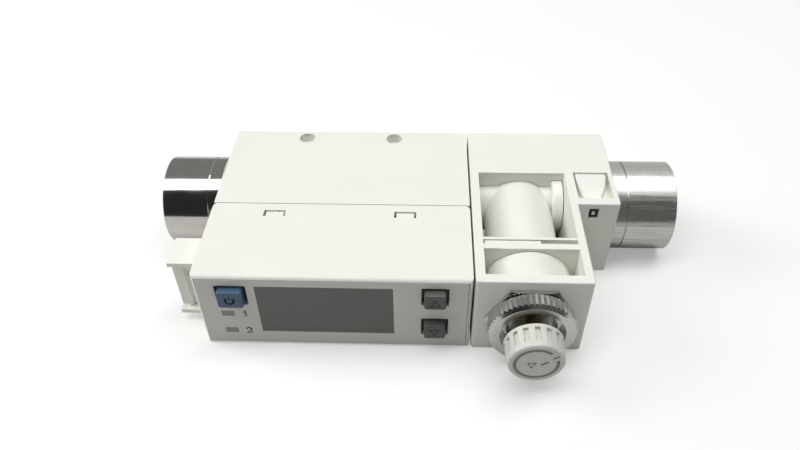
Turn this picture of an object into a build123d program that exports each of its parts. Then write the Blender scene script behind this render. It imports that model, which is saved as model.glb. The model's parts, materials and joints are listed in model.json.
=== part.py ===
from build123d import *
from math import cos, radians, sin
import os

# A compact in-line digital flow switch, lying on its side. Sizes are in millimetres.
# +X runs with the flow from inlet to outlet, +Y from the display face to the back, and +Z up
# through the thickness. The origin is on the flow axis at the gauge plane of the inlet port,
# which is the inner end of the port's mouth chamfer.

# Overall sizes
thickness = 20.0          # the whole unit, through both modules
body_length = 54.5        # sensor module along the flow
body_depth = 48.4         # display face to back face
flow_to_back = 14.0       # flow axis to back face
case_depth = 21.7         # front case, display face to seam
module_gap = 0.4          # between the sensor module and the valve module
valve_length = 31.5       # valve module along the flow
tower_width = 22.5        # front tower of the valve module along the flow
block_depth = 25.6        # rear block of the valve module, back face to its step
edge_radius = 0.6         # moulded outer edges
wall = 1.5                # moulded walls of the front case
fit_clearance = 0.05      # radial gap of a shaft or plug in its hole
piece_gap = 0.3           # gap between pieces that move on each other

# Port fittings
fitting_length = 13.5     # mouth to module
fitting_radius = 10.0
fitting_rim = 0.5         # outer chamfer at the mouth
port_radius = 5.7         # wall of the threaded port
port_depth = 11.0
port_chamfer = 0.8
ring_groove_offset = 3.0  # thin turned groove, from the shoulder
ring_groove_width = 0.35
ring_groove_depth = 0.3
flow_radius = 3.6         # clear passage through the unit

# Derived places along X
mouth_x = -port_chamfer
body_x0 = mouth_x + fitting_length
body_x1 = body_x0 + body_length
body_mid_x = (body_x0 + body_x1) / 2
valve_x0 = body_x1 + module_gap
valve_x1 = valve_x0 + valve_length
tower_x1 = valve_x0 + tower_width
knob_x = valve_x0 + tower_width / 2
outlet_mouth_x = valve_x1 + fitting_length

# Derived places along Y and Z
back_y = flow_to_back
front_y = back_y - body_depth
seam_y = front_y + case_depth
step_y = back_y - block_depth
top_z = thickness / 2


def facing_front(y):
    """Plane at height y whose normal points to the front; sketch axes are X and Z."""
    return Plane.XZ.offset(-y)


def facing_outlet(x):
    """Plane at place x whose normal points along the flow; sketch axes are Y and Z."""
    return Plane.YZ.offset(x)


def save(builder, name):
    """Label a finished piece and write it."""
    builder.part.label = name
    export_step(builder.part, f"parts/{name}.step")


os.makedirs("parts", exist_ok=True)
knob_axis = Axis((knob_x, 0, 0), (0, 1, 0))


# Inlet fitting: turned, with a plug that enters the sensor module
collar_proud = 0.4        # round collar on the module's end, cut flat at top and bottom
collar_radius = 10.8
plug_radius = 6.15
plug_length = 9.5         # from the shoulder
plug_bore = 4.0
plug_tip_chamfer = 0.4
clip_groove_offset = 2.7  # from the shoulder
clip_groove_width = 1.4
clip_groove_radius = 5.1
o_ring_section = 1.5
o_ring_offset = 5.8       # from the shoulder to the groove's middle
o_ring_groove_width = 1.9
o_ring_slack = 0.04
inlet_shoulder_x = body_x0 - collar_proud
plug_end_x = inlet_shoulder_x + plug_length
o_ring_seat_radius = plug_radius + 2 * fit_clearance - o_ring_section

clip_x0 = inlet_shoulder_x + clip_groove_offset
clip_x1 = clip_x0 + clip_groove_width
seal_x = inlet_shoulder_x + o_ring_offset
turned_x = inlet_shoulder_x - ring_groove_offset

with BuildPart() as inlet_fitting:
    with BuildSketch(Plane.XY):
        with BuildLine():
            Polyline(
                (mouth_x, port_radius + port_chamfer),
                (mouth_x, fitting_radius - fitting_rim),
                (mouth_x + fitting_rim, fitting_radius),
                (turned_x, fitting_radius),
                (turned_x, fitting_radius - ring_groove_depth),
                (turned_x + ring_groove_width, fitting_radius - ring_groove_depth),
                (turned_x + ring_groove_width, fitting_radius),
                (inlet_shoulder_x, fitting_radius),
                (inlet_shoulder_x, plug_radius),
                (clip_x0, plug_radius),
                (clip_x0, clip_groove_radius),
                (clip_x1, clip_groove_radius),
                (clip_x1, plug_radius),
                (seal_x - o_ring_groove_width / 2, plug_radius),
                (seal_x - o_ring_groove_width / 2, o_ring_seat_radius),
                (seal_x + o_ring_groove_width / 2, o_ring_seat_radius),
                (seal_x + o_ring_groove_width / 2, plug_radius),
                (plug_end_x - plug_tip_chamfer, plug_radius),
                (plug_end_x, plug_radius - plug_tip_chamfer),
                (plug_end_x, plug_bore),
                (port_depth, plug_bore),
                (port_depth, port_radius),
                (0, port_radius),
                close=True,
            )
        make_face()
    revolve(axis=Axis.X)
save(inlet_fitting, "inlet_fitting")

with BuildPart() as inlet_o_ring:
    with BuildSketch(Plane.XY):
        with Locations((seal_x, o_ring_seat_radius + o_ring_section / 2)):
            Circle(o_ring_section / 2 - o_ring_slack)
    revolve(axis=Axis.X)
save(inlet_o_ring, "inlet_o_ring")


# Joint tube between the two modules, with a seal and a retaining groove
tube_radius = 5.0
tube_wall = 1.5
tube_socket = 9.0         # depth of the tube in the sensor module
tube_entry = 3.6          # depth of the tube in the valve body
joint_seal_radius = 0.55  # section radius of the two small seals
joint_seal_offset = 2.0   # from the tube's left end
joint_clip_offset = 5.0   # from the tube's left end
clip_plate = 1.2
clip_slack = 0.1          # on each side of a clip plate in its slot
joint_groove_radius = 4.3

tower_wall = 1.9          # left wall of the tower
cavity_x0 = valve_x0 + tower_wall
cross_tube_gap = 0.2      # valve body to the cavity's walls
cross_x0 = cavity_x0 + cross_tube_gap
tube_bore = tube_radius - tube_wall
tube_x0 = body_x1 - tube_socket
tube_x1 = cross_x0 + tube_entry
joint_clip_x0 = tube_x0 + joint_clip_offset
joint_clip_x1 = joint_clip_x0 + clip_plate + 2 * clip_slack
right_seal_x = tube_x1 - joint_seal_offset / 2 - joint_seal_radius
left_seal_x = tube_x0 + joint_seal_offset
seal_seat_radius = tube_radius + fit_clearance - 2 * joint_seal_radius

with BuildPart() as joint_tube:
    with BuildSketch(Plane.XY):
        with BuildLine():
            Polyline(
                (tube_x0, tube_bore),
                (tube_x0, tube_radius),
                (tube_x1, tube_radius),
                (tube_x1, tube_bore),
                close=True,
            )
        make_face()
        with Locations((left_seal_x, tube_radius), (right_seal_x, tube_radius)):
            Rectangle(3 * joint_seal_radius, 2 * (tube_radius - seal_seat_radius), mode=Mode.SUBTRACT)
        with Locations(((joint_clip_x0 + joint_clip_x1) / 2, tube_radius)):
            Rectangle(
                joint_clip_x1 - joint_clip_x0,
                2 * (tube_radius - joint_groove_radius),
                mode=Mode.SUBTRACT,
            )
    revolve(axis=Axis.X)
save(joint_tube, "joint_tube")

with BuildPart() as joint_o_rings:
    with BuildSketch(Plane.XY):
        with Locations(
            (left_seal_x, seal_seat_radius + joint_seal_radius),
            (right_seal_x, seal_seat_radius + joint_seal_radius),
        ):
            Circle(joint_seal_radius - o_ring_slack)
    revolve(axis=Axis.X)
save(joint_o_rings, "joint_o_rings")


# Flow screens that calm the stream behind the inlet plug, and the ring between them
screen_radius = 5.15
screen_thickness = 0.4
screen_gap = 1.2
screen_hole = 0.62
screen_rows = {1.8: 6, 3.6: 12}   # ring radius: holes on it
spacer_wall = 0.6
screen_seat_x1 = plug_end_x + 2 * screen_thickness + screen_gap
spacer_x0 = plug_end_x + screen_thickness
spacer_x1 = spacer_x0 + screen_gap

with BuildPart() as flow_screens:
    for screen_x in (plug_end_x, spacer_x1):
        with BuildSketch(facing_outlet(screen_x)):
            Circle(screen_radius)
            Circle(screen_hole, mode=Mode.SUBTRACT)
            for row_radius, count in screen_rows.items():
                with PolarLocations(row_radius, count):
                    Circle(screen_hole, mode=Mode.SUBTRACT)
        extrude(amount=screen_thickness)
save(flow_screens, "flow_screens")

with BuildPart() as screen_spacer:
    with BuildSketch(facing_outlet(spacer_x0)):
        Circle(screen_radius)
        Circle(screen_radius - spacer_wall, mode=Mode.SUBTRACT)
    extrude(amount=screen_gap)
save(screen_spacer, "screen_spacer")


# Flow body: rear half of the sensor module, with the bored passage and the sensor pocket
bracket_pitch = 20.6
bracket_hole_radius = 1.85
lower_hole_radius = 1.65  # the same holes in the lower side face
bracket_hole_depth = 2.2
bracket_to_back = 2.9     # hole centres from the back face
pocket_length = 15.0      # sensor pocket along X
pocket_height = 12.0
pocket_floor = 1.6        # left between passage and pocket
window_length = 6.0       # hole from pocket to passage
window_height = 4.0
post_radius = 1.5
post_length = 6.1
post_inset = 5.0          # post centres from the module's right end
left_post_inset = 11.0    # and from its left end, clear of the connector's pins
post_rise = 4.6           # post centres above and below the flow axis
latch_pitch = 27.45
latch_offset = 13.5       # first latch centre from the module's inlet end
latch_width = 4.6
latch_depth = 1.9
latch_to_seam = 3.1       # window centre ahead of the seam
tongue_width = 3.7
tongue_thickness = 1.2
tongue_tip = 0.7          # tongue past the window
hook_gap = 0.12           # hook inside its window
hook_drop = 0.35          # hook top under the case's face
lip_height = 1.0          # locating lip inside the case
lip_width = 1.2
lip_gap = 0.1
slot_half = 8.2           # half width of the inlet clip's slot
joint_slot_half = 6.7     # and of the joint clip's slot
screw_radius = 0.9
screw_pitch = 10.6
screw_rise = 3.9          # screw rows above and below the flow axis
screw_bite = 2.4          # screws past the pocket's floor

pocket_y = -(flow_radius + pocket_floor)
latch_y = seam_y - latch_to_seam
latch_xs = (body_x0 + latch_offset, body_x0 + latch_offset + latch_pitch)
inner_top_z = top_z - wall
tongue_z1 = inner_top_z - lip_gap
tongue_z0 = tongue_z1 - tongue_thickness
post_xs = (body_x0 + left_post_inset, body_x1 - post_inset)

with BuildPart() as flow_body:
    with BuildSketch(facing_front(back_y)):
        with Locations((body_mid_x, 0)):
            Rectangle(body_length, thickness)
    extrude(amount=back_y - seam_y)
    back_edges = flow_body.edges().group_by(Axis.Y)[-1]
    fillet(back_edges, edge_radius)
    with BuildSketch(facing_outlet(body_x0)):
        Circle(collar_radius)
        Rectangle(2 * collar_radius, thickness - 2 * edge_radius, mode=Mode.INTERSECT)
    extrude(amount=-collar_proud)
    # locating lip, latch tongues and board posts stand on the seam face
    with BuildSketch(facing_front(seam_y)):
        with Locations((body_mid_x, 0)):
            Rectangle(body_length - 2 * (wall + lip_gap), thickness - 2 * (wall + lip_gap))
            Rectangle(
                body_length - 2 * (wall + lip_gap + lip_width),
                thickness - 2 * (wall + lip_gap + lip_width),
                mode=Mode.SUBTRACT,
            )
    extrude(amount=lip_height)
    with BuildSketch(facing_front(seam_y)):
        with Locations([(x, side * post_rise) for x in post_xs for side in (1, -1)]):
            Circle(post_radius)
    extrude(amount=post_length)
    for side in (1, -1):
        for latch_x in latch_xs:
            window_y0 = latch_y - latch_depth / 2
            window_y1 = latch_y + latch_depth / 2
            with BuildSketch(facing_outlet(latch_x - tongue_width / 2)):
                with BuildLine():
                    Polyline(
                        (seam_y, side * tongue_z0),
                        (window_y0 - tongue_tip, side * tongue_z0),
                        (window_y0 - tongue_tip, side * tongue_z1),
                        (window_y0 + hook_gap, side * tongue_z1),
                        (window_y0 + 3 * hook_gap, side * (top_z - hook_drop)),
                        (window_y1 - hook_gap, side * (top_z - hook_drop)),
                        (window_y1 - hook_gap, side * tongue_z1),
                        (seam_y, side * tongue_z1),
                        close=True,
                    )
                make_face()
            extrude(amount=tongue_width)
    # stepped passage, turned about the flow axis
    with BuildSketch(Plane.XY):
        with BuildLine():
            Polyline(
                (inlet_shoulder_x, 0),
                (inlet_shoulder_x, plug_radius + 2 * fit_clearance),
                (plug_end_x, plug_radius + 2 * fit_clearance),
                (plug_end_x, screen_radius + fit_clearance),
                (screen_seat_x1, screen_radius + fit_clearance),
                (screen_seat_x1, flow_radius),
                (tube_x0, flow_radius),
                (tube_x0, tube_radius + fit_clearance),
                (body_x1, tube_radius + fit_clearance),
                (body_x1, 0),
                close=True,
            )
        make_face()
    revolve(axis=Axis.X, mode=Mode.SUBTRACT)
    # sensor pocket and its window into the passage
    with BuildSketch(facing_front(pocket_y)):
        with Locations((body_mid_x, 0)):
            Rectangle(pocket_length, pocket_height)
    extrude(amount=pocket_y - seam_y, mode=Mode.SUBTRACT)
    with BuildSketch(facing_front(0)):
        with Locations((body_mid_x, 0)):
            Rectangle(window_length, window_height)
    extrude(amount=-pocket_y, mode=Mode.SUBTRACT)
    with BuildSketch(facing_front(pocket_y + screw_bite)):
        with Locations((body_mid_x, 0)):
            with GridLocations(screw_pitch, 2 * screw_rise, 2, 2):
                Circle(screw_radius + fit_clearance)
    extrude(amount=screw_bite, mode=Mode.SUBTRACT)
    # bracket holes in both side faces
    for mouth_z, radius in ((top_z, bracket_hole_radius), (bracket_hole_depth - top_z, lower_hole_radius)):
        with BuildSketch(Plane.XY.offset(mouth_z)):
            with Locations((body_mid_x, back_y - bracket_to_back)):
                with GridLocations(bracket_pitch, 1, 2, 1):
                    Circle(radius)
        extrude(amount=-bracket_hole_depth, mode=Mode.SUBTRACT)
    # slots for the two retaining clips, open to the underside
    with BuildSketch(Plane.XY.offset(-top_z)):
        with Locations(((clip_x0 + clip_x1) / 2, 0)):
            Rectangle(clip_x1 - clip_x0, 2 * slot_half)
    extrude(amount=top_z + plug_radius, mode=Mode.SUBTRACT)
    with BuildSketch(Plane.XY.offset(-top_z)):
        with Locations(((joint_clip_x0 + joint_clip_x1) / 2, 0)):
            Rectangle(joint_clip_x1 - joint_clip_x0, 2 * joint_slot_half)
    extrude(amount=top_z + tube_radius, mode=Mode.SUBTRACT)
save(flow_body, "flow_body")


# Retaining clips: forks pushed in from the underside, astride a groove
fork_top_gap = 1.0        # prongs below the top of what they hold
clips = {
    "inlet_clip": ((clip_x0 + clip_x1) / 2, slot_half, clip_groove_radius, plug_radius),
    "joint_clip": (
        (joint_clip_x0 + joint_clip_x1) / 2,
        joint_slot_half,
        joint_groove_radius,
        tube_radius,
    ),
}
for name, (clip_x, half_width, groove_radius, held_radius) in clips.items():
    fork_top_z = held_radius - fork_top_gap
    with BuildPart() as clip:
        with BuildSketch(facing_outlet(clip_x - clip_plate / 2)):
            with Locations((0, (fork_top_z - top_z) / 2)):
                Rectangle(2 * (half_width - clip_slack), fork_top_z + top_z)
            Circle(groove_radius + fit_clearance, mode=Mode.SUBTRACT)
            with Locations((0, fork_top_z / 2)):
                Rectangle(2 * (groove_radius + fit_clearance), fork_top_z, mode=Mode.SUBTRACT)
        extrude(amount=clip_plate)
    save(clip, name)


# Front case: open at the seam, with a thin rim round the display panel
panel_thickness = 1.2
rim_width = 0.7
panel_gap = 0.1
front_radius = 1.0
seam_radius = 1.3         # upright edges at the seam
socket_depth = 5.7        # connector shroud across its short side
socket_height = 15.0
socket_y = front_y + 10.35
panel_back_y = front_y + panel_thickness

with BuildPart() as front_case:
    with BuildSketch(facing_front(seam_y)):
        with Locations((body_mid_x, 0)):
            Rectangle(body_length, thickness)
    extrude(amount=case_depth)
    upright = front_case.edges().filter_by(Axis.Z).group_by(Axis.Y)[-1]
    fillet(upright, seam_radius)
    fillet(front_case.edges().group_by(Axis.Y)[0], front_radius)
    with BuildSketch(facing_front(seam_y)):
        with Locations((body_mid_x, 0)):
            Rectangle(body_length - 2 * wall, thickness - 2 * wall)
    extrude(amount=case_depth - panel_thickness, mode=Mode.SUBTRACT)
    with BuildSketch(facing_front(panel_back_y)):
        with Locations((body_mid_x, 0)):
            Rectangle(body_length - 2 * rim_width, thickness - 2 * rim_width)
    extrude(amount=panel_thickness, mode=Mode.SUBTRACT)
    with BuildSketch(Plane.XY):
        with Locations([(x, latch_y) for x in latch_xs]):
            Rectangle(latch_width, latch_depth)
    extrude(amount=thickness, both=True, mode=Mode.SUBTRACT)
    with BuildSketch(facing_outlet(body_x0 - wall)):
        with Locations((socket_y, 0)):
            Rectangle(socket_depth + 2 * fit_clearance, socket_height + 2 * fit_clearance)
    extrude(amount=3 * wall, mode=Mode.SUBTRACT)
save(front_case, "front_case")


# Display panel with openings for the window, the keys and the two indicators
panel_corner = 0.4
view_start = 12.15        # window's edges from the module's two ends
view_end_inset = 15.35
view_height = 13.4
view_width = body_length - view_start - view_end_inset
view_x = body_x0 + view_start + view_width / 2
view_z = 0.8
view_thickness = 0.8
view_ledge = 0.8          # panel left behind the window's edge
lens_width = 2.65
lens_height = 1.6
lens_x = body_x0 + 5.85
lens_zs = (-0.55, -5.7)
board_post_radius = 1.0
board_post_inset = 2.7    # from the ends of the module
board_post_rise = 7.0
board_gap = 3.6           # panel back to display board
board_thickness = 1.0
key_gap = 0.55            # key to the edge of its opening
arrow_key_x = body_length - 7.2
keys = {
    # name: (place along X from the module's inlet end, height Z, width, height, proud of panel)
    "set_button": (7.35, 4.85, 5.1, 4.3, 1.5),
    "up_button": (arrow_key_x, 5.3, 4.3, 3.8, 1.6),
    "down_button": (arrow_key_x, -3.5, 4.3, 3.8, 1.6),
}
board_y = panel_back_y + board_gap
board_post_xs = (body_x0 + board_post_inset, body_x1 - board_post_inset)

with BuildPart() as display_panel:
    with BuildSketch(facing_front(panel_back_y)):
        with Locations((body_mid_x, 0)):
            RectangleRounded(
                body_length - 2 * (rim_width + panel_gap),
                thickness - 2 * (rim_width + panel_gap),
                panel_corner,
            )
        with Locations((view_x, view_z)):
            Rectangle(view_width - 2 * view_ledge, view_height - 2 * view_ledge, mode=Mode.SUBTRACT)
        with Locations([(lens_x, z) for z in lens_zs]):
            Rectangle(lens_width, lens_height, mode=Mode.SUBTRACT)
        for key_x, key_z, key_width, key_height, _ in keys.values():
            with Locations((body_x0 + key_x, key_z)):
                Rectangle(key_width + 2 * key_gap, key_height + 2 * key_gap, mode=Mode.SUBTRACT)
    extrude(amount=panel_thickness)
    with BuildSketch(facing_front(front_y)):
        with Locations((view_x, view_z)):
            Rectangle(view_width, view_height)
    extrude(amount=-view_thickness, mode=Mode.SUBTRACT)
    with BuildSketch(facing_front(panel_back_y)):
        with Locations([(x, side * board_post_rise) for x in board_post_xs for side in (1, -1)]):
            Circle(board_post_radius)
    extrude(amount=-board_gap)
save(display_panel, "display_panel")

with BuildPart() as display_window:
    with BuildSketch(facing_front(front_y)):
        with Locations((view_x, view_z)):
            Rectangle(view_width, view_height)
    extrude(amount=-view_thickness)
save(display_window, "display_window")

for number, lens_z in enumerate(lens_zs, start=1):
    with BuildPart() as indicator_lens:
        with BuildSketch(facing_front(panel_back_y)):
            with Locations((lens_x, lens_z)):
                Rectangle(lens_width, lens_height)
        extrude(amount=panel_thickness)
    save(indicator_lens, f"indicator_lens_{number}")


# Display module: the numeral block that fills the space from window to board
module_ledge = 0.2        # smaller than the panel's opening on each side
with BuildPart() as display_module:
    with BuildSketch(facing_front(board_y)):
        with Locations((view_x, view_z)):
            Rectangle(
                view_width - 2 * (view_ledge + module_ledge),
                view_height - 2 * (view_ledge + module_ledge),
            )
    extrude(amount=board_y - front_y - view_thickness)
save(display_module, "display_module")


# Keys: a cap through the panel, a flange behind it, and the switch that each one presses
key_flange = 0.5          # flange past the opening
key_flange_thickness = 0.6
key_corner = 0.6
key_edge = 0.3
key_travel = 0.4
switch_size = 4.4
switch_height = 1.6
plunger_radius = 1.0
flange_y0 = panel_back_y + piece_gap
flange_y1 = flange_y0 + key_flange_thickness
plunger_y = flange_y1 + key_travel + piece_gap

for name, (key_x, key_z, key_width, key_height, proud) in keys.items():
    with BuildPart() as key:
        with BuildSketch(facing_front(flange_y0)):
            with Locations((body_x0 + key_x, key_z)):
                RectangleRounded(key_width, key_height, key_corner)
        extrude(amount=flange_y0 - front_y + proud)
        fillet(key.edges().group_by(Axis.Y)[0], key_edge)
        with BuildSketch(facing_front(flange_y1)):
            with Locations((body_x0 + key_x, key_z)):
                Rectangle(
                    key_width + 2 * (key_gap + key_flange),
                    key_height + 2 * (key_gap + key_flange),
                )
                Rectangle(body_length, 2 * (inner_top_z - key_z - piece_gap), mode=Mode.INTERSECT)
        extrude(amount=key_flange_thickness)
    save(key, name)
    with BuildPart() as switch:
        with BuildSketch(facing_front(board_y)):
            with Locations((body_x0 + key_x, key_z)):
                RectangleRounded(switch_size, switch_size, key_edge)
        extrude(amount=switch_height)
        with BuildSketch(facing_front(board_y)):
            with Locations((body_x0 + key_x, key_z)):
                Circle(plunger_radius)
        extrude(amount=board_y - plunger_y)
    save(switch, name.replace("button", "switch"))


# Circuit boards: one behind the display, one on the flow body's posts, and the link between
board_edge_gap = 0.6      # board to the case's inner walls
link_length = 14.0
link_width = 2.2
link_x = body_mid_x + 6.0
link_z = -5.6
main_board_y = seam_y - post_length
chip_size = 7.0
chip_height = 1.2
chip_x = body_mid_x - 4.0
coil_radius = 2.2
coil_height = 3.0
pin_size = 0.64
pin_pitch = 2.5
pin_count = 5
pin_gap = 0.03
pin_turn_x = body_x0 + 6.8
socket_inside = 4.5       # shroud past the module's end
main_board_x0 = body_x0 + socket_inside + board_edge_gap
main_board_x1 = body_x1 - wall - board_edge_gap
board_height = thickness - 2 * (wall + board_edge_gap)

with BuildPart() as display_board:
    with BuildSketch(facing_front(board_y + board_thickness)):
        with Locations((body_mid_x, 0)):
            Rectangle(body_length - 2 * (wall + board_edge_gap), board_height)
    extrude(amount=board_thickness)
save(display_board, "display_board")

with BuildPart() as board_link:
    with BuildSketch(facing_front(main_board_y - board_thickness)):
        with Locations((link_x, link_z)):
            Rectangle(link_length, link_width)
    extrude(amount=main_board_y - 2 * board_thickness - board_y)
save(board_link, "board_link")

with BuildPart() as main_board:
    with BuildSketch(facing_front(main_board_y)):
        with Locations(((main_board_x0 + main_board_x1) / 2, 0)):
            Rectangle(main_board_x1 - main_board_x0, board_height)
        with Locations((pin_turn_x, 0)):
            with GridLocations(1, pin_pitch, 1, pin_count):
                Rectangle(pin_size + 2 * pin_gap, pin_size + 2 * pin_gap, mode=Mode.SUBTRACT)
    extrude(amount=board_thickness)
    with BuildSketch(facing_front(main_board_y - board_thickness)):
        with Locations((chip_x, 0)):
            Rectangle(chip_size, chip_size)
    extrude(amount=chip_height)
    with BuildSketch(facing_front(main_board_y - board_thickness)):
        with Locations((chip_x - chip_size, 0)):
            Circle(coil_radius)
    extrude(amount=coil_height)
save(main_board, "main_board")


# Connector socket on the module's inlet end, open towards the inlet, with five bent pins
socket_length = 6.5       # shroud in front of the module's end
socket_wall = 0.7
socket_floor = 2.2
flange_plate = 1.0        # guide plates above and below the shroud
flange_reach = 1.7        # plates past the shroud, towards the front
key_rib_width = 0.7
key_rib_proud = 0.6
key_rib_x = body_x0 - 4.4
catch_width = 1.2
catch_height = 1.5
catch_x = body_x0 - 3.0
catch_z = 3.0
pin_recess = 4.7          # pin tips below the mouth
socket_x0 = body_x0 - socket_length
socket_x1 = body_x0 + socket_inside
socket_front_y = socket_y - socket_depth / 2

with BuildPart() as connector_socket:
    with BuildSketch(facing_outlet(socket_x0)):
        with Locations((socket_y, 0)):
            Rectangle(socket_depth, socket_height)
    extrude(amount=socket_x1 - socket_x0)
    with BuildSketch(facing_outlet(socket_x0)):
        for side in (1, -1):
            with Locations((socket_y - flange_reach / 2, side * (socket_height - flange_plate) / 2)):
                Rectangle(socket_depth + flange_reach, flange_plate)
    extrude(amount=socket_length)
    with BuildSketch(facing_front(socket_front_y)):
        with Locations((key_rib_x, 0)):
            Rectangle(key_rib_width, socket_height - 2 * flange_plate)
    extrude(amount=key_rib_proud)
    with BuildSketch(facing_outlet(socket_x0)):
        with Locations((socket_y, 0)):
            Rectangle(socket_depth - 2 * socket_wall, socket_height - 2 * socket_wall)
    extrude(amount=socket_x1 - socket_x0 - socket_floor, mode=Mode.SUBTRACT)
    with BuildSketch(facing_outlet(socket_x1)):
        with Locations((socket_y, 0)):
            with GridLocations(1, pin_pitch, 1, pin_count):
                Rectangle(pin_size + 2 * pin_gap, pin_size + 2 * pin_gap)
    extrude(amount=-socket_floor, mode=Mode.SUBTRACT)
    with BuildSketch(facing_front(socket_front_y + socket_wall)):
        with Locations((catch_x, catch_z)):
            Rectangle(catch_width, catch_height)
    extrude(amount=socket_wall, mode=Mode.SUBTRACT)
save(connector_socket, "connector_socket")

with BuildPart() as connector_pins:
    with BuildSketch(facing_outlet(socket_x0 + pin_recess)):
        with Locations((socket_y, 0)):
            with GridLocations(1, pin_pitch, 1, pin_count):
                Rectangle(pin_size, pin_size)
    extrude(amount=pin_turn_x + pin_size / 2 - socket_x0 - pin_recess)
    with BuildSketch(facing_front(main_board_y)):
        with Locations((pin_turn_x, 0)):
            with GridLocations(1, pin_pitch, 1, pin_count):
                Rectangle(pin_size, pin_size)
    extrude(amount=main_board_y - socket_y)
save(connector_pins, "connector_pins")


# Sensor in its pocket: gasket, board, chip reaching into the passage, cover and its screws
gasket_thickness = 0.8
sensor_board_length = 13.6
sensor_board_height = 10.6
chip_gap = 0.5            # sensor chip to the edge of its window
chip_reach = 0.6          # chip past the passage wall's plane
cover_thickness = 2.0
screw_head_radius = 1.6
screw_head = 0.9
gasket_y = pocket_y - gasket_thickness
sensor_board_y = gasket_y - board_thickness

with BuildPart() as sensor_gasket:
    with BuildSketch(facing_front(pocket_y)):
        with Locations((body_mid_x, 0)):
            Rectangle(sensor_board_length, sensor_board_height)
            Rectangle(window_length, window_height, mode=Mode.SUBTRACT)
            with GridLocations(screw_pitch, 2 * screw_rise, 2, 2):
                Circle(screw_radius + fit_clearance, mode=Mode.SUBTRACT)
    extrude(amount=gasket_thickness)
save(sensor_gasket, "sensor_gasket")

with BuildPart() as sensor_board:
    with BuildSketch(facing_front(gasket_y)):
        with Locations((body_mid_x, 0)):
            Rectangle(sensor_board_length, sensor_board_height)
            with GridLocations(screw_pitch, 2 * screw_rise, 2, 2):
                Circle(screw_radius + fit_clearance, mode=Mode.SUBTRACT)
    extrude(amount=board_thickness)
save(sensor_board, "sensor_board")

with BuildPart() as sensor_chip:
    with BuildSketch(facing_front(gasket_y)):
        with Locations((body_mid_x, 0)):
            Rectangle(window_length - 2 * chip_gap, window_height - 2 * chip_gap)
    extrude(amount=gasket_y + flow_radius - chip_reach)
save(sensor_chip, "sensor_chip")

with BuildPart() as sensor_cover:
    with BuildSketch(facing_front(sensor_board_y)):
        with Locations((body_mid_x, 0)):
            Rectangle(sensor_board_length, sensor_board_height)
            with GridLocations(screw_pitch, 2 * screw_rise, 2, 2):
                Circle(screw_radius + fit_clearance, mode=Mode.SUBTRACT)
    extrude(amount=cover_thickness)
save(sensor_cover, "sensor_cover")

with BuildPart() as sensor_screws:
    with BuildSketch(facing_front(pocket_y + screw_bite)):
        with Locations((body_mid_x, 0)):
            with GridLocations(screw_pitch, 2 * screw_rise, 2, 2):
                Circle(screw_radius)
    extrude(amount=pocket_y + screw_bite - sensor_board_y + cover_thickness)
    with BuildSketch(facing_front(sensor_board_y - cover_thickness)):
        with Locations((body_mid_x, 0)):
            with GridLocations(screw_pitch, 2 * screw_rise, 2, 2):
                Circle(screw_head_radius)
    extrude(amount=screw_head)
save(sensor_screws, "sensor_screws")


# Valve housing: a tower and a rear block moulded in one, with an open well that two
# cross bars bridge, a side recess for the outlet key, and round saddles for the valve body
well_right_wall = 1.7
well_front_wall = 2.0
well_depth = 33.1         # front face to the well's back wall
bar_drop = 0.2            # bars under the top face
rear_bar_y = front_y + 12.55
rear_bar = 0.65
bar_slot = 1.15
front_bar = 1.5
recess_x0_offset = 2.0    # wall between well and recess
recess_wall = 1.1         # right wall of the recess
recess_front_wall = 2.0
recess_back = 0.9         # recess ends this far ahead of the flow axis
recess_floor = 2.5        # left under the recess
catch_window_width = 2.1
catch_window_height = 2.8
catch_window_x = valve_x0 + 26.1
catch_window_z = 7.3
neck_radius = 7.6
saddle_gap = 0.15
cross_radius = 6.2
sleeve_hole_gap = 0.1
collar_disc_radius = 6.6
collar_disc_y = -1.4      # collar centre from the flow axis
collar_disc_z = 1.3
guide_radius = 6.35
guide_hole_gap = 0.15
neck_end = 8.3            # valve body past the flow axis

well_x1 = tower_x1 - well_right_wall
well_y0 = front_y + well_front_wall
well_y1 = front_y + well_depth
rear_bar_y0 = rear_bar_y - rear_bar
front_bar_y1 = rear_bar_y0 - bar_slot
front_bar_y0 = front_bar_y1 - front_bar
recess_x0 = well_x1 + recess_x0_offset
recess_x1 = valve_x1 - recess_wall
recess_y0 = step_y + recess_front_wall
recess_y1 = -recess_back
saddle_radius = neck_radius + saddle_gap
cross_x1 = well_x1 - cross_tube_gap
well_mid_x = (cavity_x0 + well_x1) / 2

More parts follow.
